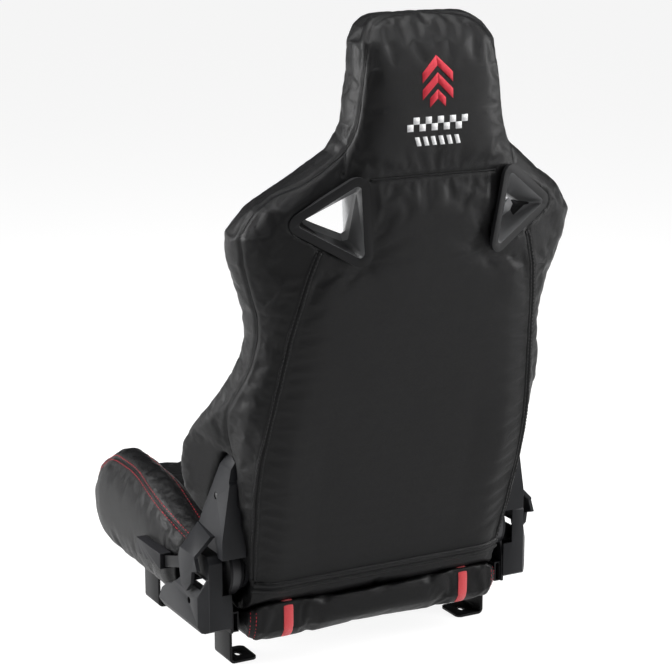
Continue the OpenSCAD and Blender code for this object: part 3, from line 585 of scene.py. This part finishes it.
def press(piece, seams, depth, width):
    """Presses a groove along the seams: deep at the line, with a slight swell beside it."""
    points = points_of(piece.data)
    away = distance_to(points, seams)
    groove = np.exp(-((away / width) ** 2))
    shoulder = np.exp(-(((away - 2.6 * width) / width) ** 2))
    hollow = depth * (groove - 0.18 * shoulder)
    move_points(piece.data, points - normals_of(piece.data) * hollow[:, None])


# %% Cords and stitches along a seam
STITCH_PITCH = 0.0058
STITCH_LENGTH = 0.0040
THREAD_RADIUS = 0.00055


def sweep(bm, seam, profile):
    """Extrudes a closed profile of (across, height) points along a seam."""
    def ring(i):
        p, n, w = seam.points[i], seam.normals[i], seam.ways[i]
        side = w.cross(n).normalized()
        return [p + side * across + n * height for across, height in profile]

    def loop(verts):
        return list(zip(verts, verts[1:])) + [(verts[-1], verts[0])]

    verts = [bm.verts.new(q) for q in ring(0)]
    edges = [bm.edges.new(pair) for pair in loop(verts)]
    bmesh.ops.contextual_create(bm, geom=verts)
    for i in range(1, len(seam.points)):
        grown = bmesh.ops.extrude_edge_only(bm, edges=edges)["geom"]
        faces = [g for g in grown if isinstance(g, bmesh.types.BMFace)]
        fresh = {g for g in grown if isinstance(g, bmesh.types.BMVert)}
        turn = {}
        for face in faces:
            for edge in face.edges:
                ends = [v in fresh for v in edge.verts]
                if ends[0] != ends[1]:
                    new, old = (edge.verts if ends[0] else reversed(edge.verts))
                    turn[old] = new
        verts = [turn[v] for v in verts]
        for v, q in zip(verts, ring(i)):
            v.co = q
        edges = [bm.edges.get(pair) for pair in loop(verts)]
    bmesh.ops.contextual_create(bm, geom=verts)


def round_profile(radius, lift, sides=6):
    angles = [2 * math.pi * i / sides for i in range(sides)]
    return [(radius * math.cos(a), lift + radius * math.sin(a)) for a in angles]


def cords(name, seams, radius, lift, material, profile=None):
    bm = bmesh.new()
    for seam in seams:
        sweep(bm, seam, profile or round_profile(radius, lift))
    bmesh.ops.recalc_face_normals(bm, faces=bm.faces)
    piece = mesh_object(name, bm, material)
    piece.data.shade_smooth()
    return piece


def stitches(name, seams, material):
    """One small bead of thread per stitch, sunk halfway into the leather."""
    bm = bmesh.new()
    count = 0
    for seam in seams:
        run = 0.0
        for a, b, n, w in zip(seam.points, seam.points[1:], seam.normals, seam.ways):
            run += (b - a).length
            if run < STITCH_PITCH:
                continue
            run -= STITCH_PITCH
            side = w.cross(n).normalized()
            turn = Matrix((w, side, n)).transposed().to_4x4()
            bead = Matrix.Diagonal((STITCH_LENGTH / 2, THREAD_RADIUS, THREAD_RADIUS, 1))
            place = Matrix.Translation(b + n * THREAD_RADIUS * 0.5) @ turn @ bead
            bmesh.ops.create_icosphere(bm, subdivisions=1, radius=1.0, matrix=place)
            count += 1
    piece = mesh_object(name, bm, material)
    piece.data.shade_smooth()
    print(name + ":", count, "stitches")
    return piece


print("seam tools: ready")

# %% [markdown]
# ## Backrest pad
# On the real seat one hide covers the back panel, a side band wraps round to the wings, and the front is a
# third piece. Their joins are chalked here on the left side as x, y and z in millimetres, and mirrored. The
# back panel's own join is a French seam: both edges are folded under and topstitched either side of it.

# %% Seam lines of the backrest
REAR_SEAM = [(12, 307, 934), (38, 311, 933), (68, 320, 927), (88, 334, 911), (99, 343, 882),
             (105, 344, 850), (109, 344, 815), (114, 341, 790), (124, 339, 770), (140, 329, 749),
             (162, 327, 736), (183, 321, 725), (198, 304, 714), (213, 292, 705), (236, 290, 688),
             (250, 289, 668), (246, 285, 630), (228, 277, 570), (219, 272, 525), (228, 255, 460),
             (244, 224, 405), (246, 205, 350), (240, 200, 300)]
FRONT_SEAM = [(60, 290, 930), (88, 290, 905), (97, 284, 870), (103, 281, 820), (116, 276, 780),
              (150, 262, 748), (205, 242, 722), (240, 230, 690), (254, 223, 660), (250, 219, 615),
              (226, 216, 560), (212, 212, 510), (216, 196, 460), (228, 160, 412), (240, 118, 360),
              (244, 97, 310), (241, 90, 270), (236, 90, 220), (226, 96, 175)]
FRENCH_SEAM = [(162, 330, 632), (176, 326, 590), (184, 320, 553), (192, 309, 511), (198, 298, 462),
               (205, 286, 404), (214, 275, 338), (215, 252, 284), (212, 240, 223), (208, 212, 142)]
HEAD_SEAM = [(-96, 352, 724), (0, 354, 724.5), (96, 352, 724)]
BAND_SEAM = [(122, 333, 769), (116, 318, 771), (109, 300, 775), (104, 284, 778)]
COLLAR_SEAM = [(122, 333, 769), (127, 338, 751), (131, 342, 734)]
INSERT_SEAM = [(112, 124, 175), (124, 145, 250), (124, 165, 330), (116, 192, 420), (110, 212, 500),
               (98, 240, 590), (84, 264, 660), (72, 275, 730), (64, 280, 790)]
FRONT_CROSS = [[(-width, y, z), (0, y, z), (width, y, z)] for width, y, z in
               ((122, 145, 250), (123, 168, 340), (115, 193, 425), (109, 214, 505), (64, 281, 792))]

BACK_PLUGS = ("left_upright", "right_upright", "middle_bar", "shoulder_bar", "headrest_hoop",
              "back_springs", "lower_back_tube", "upper_cover_screws")
VOXEL = 0.005
back = closed_body("back_pad", ("back_cover", "back_foam"), BACK_PLUGS, VOXEL)
back_tree = tree_of(back)
sides = (False, True)


def both_sides(tree, line):
    return [Seam(tree, line, mirrored) for mirrored in sides]


back_lines = {
    "rear": both_sides(back_tree, REAR_SEAM),
    "front": both_sides(back_tree, FRONT_SEAM),
    "french": both_sides(back_tree, FRENCH_SEAM),
    "band": both_sides(back_tree, BAND_SEAM) + both_sides(back_tree, COLLAR_SEAM),
    "head": [Seam(back_tree, HEAD_SEAM)],
    "insert": both_sides(back_tree, INSERT_SEAM),
    "cross": [Seam(back_tree, line) for line in FRONT_CROSS],
}
print("backrest seams:", {k: len(v) for k, v in back_lines.items()})


def panel_faces(piece, seam, along, facing):
    """Perforated leather for the faces between a seam and its mirror image that face the sitter."""
    piece.data.materials.append(PANEL_LEATHER)
    spots = np.array(sorted((q[along] * MM, q[0] * MM) for q in seam))
    for face in piece.data.polygons:
        at = face.center
        reach = np.interp(at[along], spots[:, 0], spots[:, 1])
        if spots[0, 0] < at[along] < spots[-1, 0] and abs(at.x) < reach:
            face.material_index = 1 if face.normal.dot(facing) > 0.35 else 0


# %% Swell, refine and press the backrest
HELD_REACH = 0.012


def held_near(points, seams, nodes):
    """1 on the seams and close to the named nodes, falling to 0 at a distance of HELD_REACH."""
    away = distance_to(points, seams)
    for node in nodes:
        low, high = (np.array(c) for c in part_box(node))
        outside = np.maximum(np.maximum(low - points, points - high), 0)
        away = np.minimum(away, np.linalg.norm(outside, axis=1))
    return np.clip(1 - (away - 0.4 * HELD_REACH) / (0.6 * HELD_REACH), 0, 1)


BACK_HARDWARE = [f"{s}_{p}" for s in ("left", "right") for p in
                 ("upper_cover", "ring_disc", "rear_bezel", "front_bezel", "clock_spring")]
all_back_lines = [s for lines in back_lines.values() for s in lines]
swell(back, held_near(points_of(back.data), all_back_lines, BACK_HARDWARE))
finer(back)
press(back, all_back_lines, 0.0016, 0.0030)
back.data.materials.append(BLACK_LEATHER)
panel_faces(back, INSERT_SEAM, 2, Vector((0, -1, 0)))
back.data.shade_smooth()
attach(back, "backrest")
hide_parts("back_cover", "back_foam")
back_skin = tree_of(back)
print("backrest pad:", len(back.data.polygons), "faces")


# %% Cords, French seams and stitches of the backrest
def lay_again(lines, skin):
    """Lays the same lines on the finished skin."""
    for line in lines:
        line.tree = skin
        line.lay(line.points)


def on_body(piece, body):
    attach(piece, body)


lay_again(all_back_lines, back_skin)
fine = [s for part in ("rear", "band", "insert", "cross") for s in back_lines[part]]
fold = cords("headrest_fold", back_lines["head"], 0.0013, 0.0006, WELT_LEATHER)
on_body(fold, "backrest")
seam_cords = cords("back_seam_cords", fine, 0.0008, -0.0002, WELT_LEATHER)
on_body(seam_cords, "backrest")
FRENCH_HALF = [(0.0007, 0.0013), (0.0022, 0.0021), (0.0044, 0.0019), (0.0054, 0.0006), (0.0056, -0.0018)]
FRENCH_MIRROR = [(-across, height) for across, height in reversed(FRENCH_HALF)]
FRENCH_PROFILE = FRENCH_MIRROR + [(0.0, 0.0)] + FRENCH_HALF
french_seams = cords("back_french_seams", back_lines["french"], 0, 0, WELT_LEATHER, FRENCH_PROFILE)
on_body(french_seams, "backrest")
topstitch = [line.beside(s * 0.0035) for line in back_lines["french"] for s in (-1, 1)]
for line in topstitch:
    line.points = [p + n * 0.0019 for p, n in zip(line.points, line.normals)]
on_body(stitches("back_topstitching", topstitch, BLACK_THREAD), "backrest")
WING_TOP = 0.740
below_shoulder = []
for line in back_lines["front"]:
    row = line.beside(0.0)
    kept = [i for i, p in enumerate(row.points) if p.z < WING_TOP]
    for part in ("points", "normals", "ways"):
        setattr(row, part, [getattr(row, part)[i] for i in kept])
    below_shoulder.append(row)
front_cords = cords("front_seam_cords", back_lines["front"], 0.0009, -0.0001, WELT_LEATHER)
on_body(front_cords, "backrest")
wing_rows = [line.beside(0.0030 if line is below_shoulder[0] else -0.0030) for line in below_shoulder]
on_body(stitches("wing_stitching", wing_rows, RED_THREAD), "backrest")
insert_rows = [line.beside(s * 0.0045) for line in back_lines["insert"] for s in (-1, 1)]
on_body(stitches("front_stitching", insert_rows, RED_THREAD), "backrest")

# %% [markdown]
# ## Rolled hem
# The back panel's lower edge is turned under round a filler and sewn, which leaves two soft ridges with a
# crease between them. It is a profile swept straight across the seat, hugging the panel.

# %% Rolled hem
HEM_LINE = [(-207, 212, 131), (-100, 214, 130), (0, 214, 130), (100, 214, 130), (207, 212, 131)]
HEM_PROFILE = [(-0.0105, -0.004), (-0.0100, 0.0010), (-0.0080, 0.0032), (-0.0050, 0.0040),
               (-0.0022, 0.0030), (-0.0008, 0.0012), (0.0006, 0.0024), (0.0030, 0.0036),
               (0.0056, 0.0034), (0.0078, 0.0018), (0.0088, -0.0004), (0.0090, -0.004)]
hem = cords("back_panel_hem", [Seam(back_skin, HEM_LINE)], 0, 0, WELT_LEATHER, HEM_PROFILE)
on_body(hem, "backrest")

# %% [markdown]
# ## Cushion
# The cushion has tall side bolsters, a nose that rolls over the front, and a padded roll behind the back
# panel that closes the gap when the seat reclines. Its bolsters are joined with a black seam between two
# rows of red stitches, and the seating panel with a single row.

# %% Seam lines of the cushion
BOLSTER_SEAM = [(222, -297, 150), (232, -262, 186), (236, -225, 212), (240, -180, 221),
                (240, -145, 220), (239, -114, 217), (240, -80, 208), (240, -51, 198),
                (237, -9, 184), (230, 30, 168), (224, 56, 156)]
SEAT_SEAM = [(150, -302, 140), (158, -284, 172), (160, -250, 178), (162, -180, 182), (162, -100, 176),
             (160, -40, 166), (156, 20, 158), (152, 70, 152)]
INNER_SEAM = [(196, -300, 155), (204, -276, 192), (202, -230, 218), (198, -170, 226), (196, -110, 219),
              (196, -50, 197), (192, 10, 172), (186, 50, 157)]
NOSE_SEAM = [(-150, -303, 137), (0, -304, 137), (150, -303, 137)]
THIGH_SEAMS = [[(-158, y, z), (0, y, z), (158, y, z)] for y, z in ((-210, 172), (-130, 168), (-50, 160))]
ROLL_SEAM = [(200, 196, 108), (201, 204, 96), (201, 205, 78), (200, 200, 60), (196, 186, 47)]

cushion = closed_body("cushion_pad", ("cushion_cover", "cushion_foam"), ("rear_crossbar",), VOXEL)
cushion_tree = tree_of(cushion)
cushion_lines = {
    "bolster": both_sides(cushion_tree, BOLSTER_SEAM),
    "inner": both_sides(cushion_tree, INNER_SEAM),
    "seat": both_sides(cushion_tree, SEAT_SEAM),
    "nose": [Seam(cushion_tree, NOSE_SEAM)] + [Seam(cushion_tree, line) for line in THIGH_SEAMS],
    "roll": both_sides(cushion_tree, ROLL_SEAM),
}
all_cushion_lines = [s for lines in cushion_lines.values() for s in lines]
CUSHION_HARDWARE = ["left_side_rail", "right_side_rail", "left_lower_cover", "right_lower_cover",
                    "seat_springs", "rear_crossbar", "cushion_strap_left", "cushion_strap_right"]
swell(cushion, held_near(points_of(cushion.data), all_cushion_lines, CUSHION_HARDWARE))
finer(cushion)
press(cushion, all_cushion_lines, 0.0018, 0.0032)
cushion.data.materials.append(BLACK_LEATHER)
panel_faces(cushion, SEAT_SEAM, 1, Vector((0, 0, 1)))
cushion.data.shade_smooth()
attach(cushion, "seat_base")
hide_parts("cushion_cover", "cushion_foam")
cushion_skin = tree_of(cushion)
print("cushion:", len(cushion.data.polygons), "faces")

# %% Cords and red stitches of the cushion
lay_again(all_cushion_lines, cushion_skin)
cushion_cords = cords("cushion_seam_cords", all_cushion_lines, 0.0008, -0.0002, WELT_LEATHER)
on_body(cushion_cords, "seat_base")
ROW = 0.0042
double = cushion_lines["bolster"] + cushion_lines["roll"]
single = cushion_lines["inner"] + cushion_lines["seat"]
red_rows = [line.beside(s * ROW) for line in double for s in (-1, 1)]
red_rows += [line.beside(ROW) for line in single]
on_body(stitches("cushion_stitching", red_rows, RED_THREAD), "seat_base")

# %% [markdown]
# ## Roll straps
# Two red elastic straps hold the roll's cover down. Each is a flat band laid on the roll, so it is swept
# from a thin rounded profile, and carries its own UV map, across and along, for the ribs of the elastic.


# %% Roll straps
def strap(name, node, tree):
    low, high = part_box(node)
    middle, half = (low.x + high.x) / 2 / MM, (high.x - low.x) / 2 - 0.0006
    line = Seam(tree, [(middle, 186, 122), (middle, 196, 110), (middle, 205, 92), (middle, 206, 72),
                       (middle, 202, 56), (middle, 190, 44), (middle, 176, 40)])
    thick = 0.0013
    profile = [(-half, 0.0), (-half, thick * 0.7), (-half * 0.9, thick), (0.0, thick * 1.15),
               (half * 0.9, thick), (half, thick * 0.7), (half, 0.0)]
    bm = bmesh.new()
    sweep(bm, line, profile)
    bmesh.ops.recalc_face_normals(bm, faces=bm.faces)
    uv = bm.loops.layers.uv.new("along")
    for face in bm.faces:
        for loop in face.loops:
            run = min(range(len(line.points)), key=lambda i: (line.points[i] - loop.vert.co).length)
            loop[uv].uv = (loop.vert.co.x, run * Seam.STEP)
    piece = mesh_object(name, bm, RED_ELASTIC)
    piece.data.shade_smooth()
    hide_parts(node)
    on_body(piece, "seat_base")


strap("left_roll_strap", "cushion_strap_left", cushion_skin)
strap("right_roll_strap", "cushion_strap_right", cushion_skin)
print("straps: 2")

# %% [markdown]
# ## Emblem
# The headrest carries embroidery: three nested red chevrons over a chequered strip and a row of slanted
# bars in white, which stand for racing without naming anyone.
# Each patch of satin stitch is a small slab that follows the leather and stands a little proud of it.

# %% Satin stitch patches
EMBLEM_Z = 848
STRIP_TOP = 803
BARS_LOW = 765
THICK = 0.0011
CELL = 0.005


def patch(bm, corners_mm):
    """A slab of thread over a polygon of x and z points, laid on the rear of the headrest."""
    flat = bmesh.new()
    verts = [flat.verts.new((x * MM, 0, z * MM)) for x, z in corners_mm]
    bmesh.ops.contextual_create(flat, geom=verts)
    for axis in (0, 2):
        low = min(v.co[axis] for v in flat.verts)
        high = max(v.co[axis] for v in flat.verts)
        normal = [0, 0, 0]
        normal[axis] = 1
        for i in range(1, int((high - low) / CELL)):
            spot = [0, 0, 0]
            spot[axis] = low + CELL * i
            geometry = flat.verts[:] + flat.edges[:] + flat.faces[:]
            bmesh.ops.bisect_plane(flat, geom=geometry, plane_co=spot, plane_no=normal)
    edge = {v for e in flat.edges if e.is_boundary for v in e.verts}
    top = {}
    for v in flat.verts:
        hit = back_skin.ray_cast(Vector((v.co.x, 1.0, v.co.z)), Vector((0, -1, 0)))[0]
        top[v] = hit.y + (0.35 if v in edge else 1.0) * THICK
    for v in flat.verts:
        v.co.y = top[v]
    base = bmesh.ops.extrude_face_region(flat, geom=flat.faces[:])["geom"]
    sunk = [g for g in base if isinstance(g, bmesh.types.BMVert)]
    bmesh.ops.translate(flat, verts=sunk, vec=(0, -2 * THICK, 0))
    bmesh.ops.recalc_face_normals(flat, faces=flat.faces)
    step = bpy.data.meshes.new("step")
    flat.to_mesh(step)
    flat.free()
    bm.from_mesh(step)
    bpy.data.meshes.remove(step)


def chevron(rise, half, arm, depth):
    """Outline of one arm of a chevron, from its point at the middle to its left end."""
    top = EMBLEM_Z + rise
    return [(0, top), (half, top - arm), (half, top - arm - depth), (0, top - depth)]


# %% The emblem's pieces
red = bmesh.new()
for rise, half, arm, depth in ((34, 23, 22, 13), (12, 23, 22, 13), (-10, 12, 11, 12)):
    for flip in (1, -1):
        patch(red, [(flip * x, z) for x, z in chevron(rise, half, arm, depth)])
emblem = mesh_object("emblem_chevrons", red, RED_THREAD)
white = bmesh.new()
SQUARE = 9.2
for row in range(2):
    for column in range(10):
        if (row + column) % 2 == 0:
            x0 = (column - 5) * SQUARE
            x1, z1 = x0 + SQUARE, STRIP_TOP - row * SQUARE
            z0 = z1 - SQUARE
            patch(white, [(x0, z0), (x1, z0), (x1, z1), (x0, z1)])
for i in range(6):
    x0 = (i - 3) * 12.0
    top = BARS_LOW + 12
    patch(white, [(x0, BARS_LOW), (x0 + 6.5, BARS_LOW), (x0 + 10.5, top), (x0 + 4, top)])
strip = mesh_object("emblem_strip", white, WHITE_THREAD)
for piece in (emblem, strip):
    piece.data.shade_smooth()
    on_body(piece, "backrest")
print("emblem:", len(emblem.data.polygons) + len(strip.data.polygons), "faces")

# %% [markdown]
# ## Moulded and bent parts
# The CAD's hard parts have the right shape but knife edges. A real moulding has a small radius on every
# edge, and that thin highlight is what tells plastic from a drawing. So each visible one is copied, its flat
# triangles are dissolved back into faces, and a Bevel modifier rounds what is left by a fixed width.


# %% Rounded copies of CAD nodes
EDGE_ANGLE = 22


def eased(node, width, material, sharp):
    bm = merged_copy(node)
    bmesh.ops.dissolve_limit(bm, angle_limit=math.radians(1.0), verts=bm.verts, edges=bm.edges)
    piece = mesh_object(node + "_eased", bm, material)
    bevel = piece.modifiers.new("ease", "BEVEL")
    bevel.width = width
    bevel.segments = 2
    bevel.limit_method = "ANGLE"
    bevel.angle_limit = math.radians(EDGE_ANGLE)
    bevel.harden_normals = False
    baked(piece)
    piece.data.shade_smooth()
    piece.data.set_sharp_from_angle(angle=math.radians(sharp))
    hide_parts(node)
    return piece


def throat_faces(piece):
    """Faces inside a harness opening get a lighter grey, a painted reflection on the black trim, and beyond
    its step a lighter grey still, painted light.
    """
    piece.data.materials.append(THROAT_PAINTED_REFLECTION)
    piece.data.materials.append(STEP_PAINTED_LIGHT)
    side = -1 if piece.name.startswith("right") else 1
    middle = Vector((OPENING_AT.x * side, OPENING_AT.y, OPENING_AT.z))
    out = Vector((OPENING_OUT.x * side, OPENING_OUT.y, OPENING_OUT.z)).normalized()
    for face in piece.data.polygons:
        reach = face.center - middle
        depth = reach.dot(out)
        across = reach - out * depth
        if abs(face.normal.dot(out)) < 0.8 and face.normal.dot(across) < 0:
            face.material_index = 1 if depth > STEP_DEPTH else 2


OPENING_AT = Vector((0.143, 0.337, 0.670))
OPENING_OUT = Vector((0.314, 0.940, -0.139))
STEP_DEPTH = -0.030
subparts = {s["node"]: s["material_slot"] for s in frame["record"]["subparts"]}
bodies = frame["record"]["behaviour"]["bodies"]
body_names = {node: body for body, members in bodies.items() for node in members}
BRACKETS = [f"{end}_{side}_bracket" for end in ("front", "rear") for side in ("left", "right")]
BEZELS = [f"{side}_{end}_bezel" for end in ("rear", "front") for side in ("left", "right")]
EASED = [
    (("left_lower_cover", "right_lower_cover"), 0.0016, COVER_PLASTIC),
    (("left_upper_cover", "right_upper_cover"), 0.0010, COVER_PLASTIC),
    (BRACKETS, 0.0005, POWDER_COAT),
    (("lever_arm",), 0.0007, POWDER_COAT),
    (("lever_grip",), 0.0022, GRIP_PLASTIC),
    (("lower_cover_screws", "upper_cover_screws"), 0.0005, BLACK_SCREW),
    (BEZELS, 0.0012, RIM_PLASTIC),
]
for nodes, width, material in EASED:
    for node in nodes:
        piece = eased(node, width, material, 24 if "upper_cover" in node else 38)
        if "bezel" in node:
            throat_faces(piece)
        on_body(piece, body_names[node])
print("eased parts:", sum(len(nodes) for nodes, _, _ in EASED))

# %% [markdown]
# ## The rest of the frame
# Tubes, plates, springs and the recliner's insides keep their CAD shape. They get a finish each, by the
# record's material slots, because the underside and the gap at the hips let them be seen.

# %% Finishes for carried-over nodes
BY_SLOT = {
    "frame_steel": FRAME_STEEL,
    "bright_steel": BRIGHT_STEEL,
    "black_powder_coat": POWDER_COAT,
    "black_screws": BLACK_SCREW,
    "cover_plastic": COVER_PLASTIC,
    "grip_plastic": GRIP_PLASTIC,
    "harness_trim": RIM_PLASTIC,
    "black_leather": BLACK_LEATHER,
    "foam": FOAM,
    "red_elastic": RED_ELASTIC,
}
RECLINER_PARTS = ("ring_disc", "guide_disc", "cam", "upper_pawl", "lower_pawl", "clock_spring")
RECLINER = [f"{side}_{part}" for side in ("left", "right") for part in RECLINER_PARTS] + ["spring_pins"]
for node, piece in frame["nodes"].items():
    piece.data.materials.clear()
    piece.data.materials.append(OILED_STEEL if node in RECLINER else BY_SLOT[subparts[node]])
print("finished nodes:", len(frame["nodes"]))

# %% [markdown]
# ## Floor
# A wide pale sheet, half a millimetre under the feet. It glows, as a lit cyclorama does, so that it stays
# white out to the horizon and the shadow under the seat stays soft.

# %% Floor
paper = Finish("pale_floor", (0.20, 0.20, 0.20), 0.85, Specular_IOR_Level=0.0,
               Emission_Color=(1, 1, 1, 1), Emission_Strength=0.90)
sheet = bmesh.new()
bmesh.ops.create_grid(sheet, x_segments=1, y_segments=1, size=30)
bmesh.ops.translate(sheet, verts=sheet.verts, vec=(0, 0, -0.0005))
floor = mesh_object("floor", sheet, paper.material)
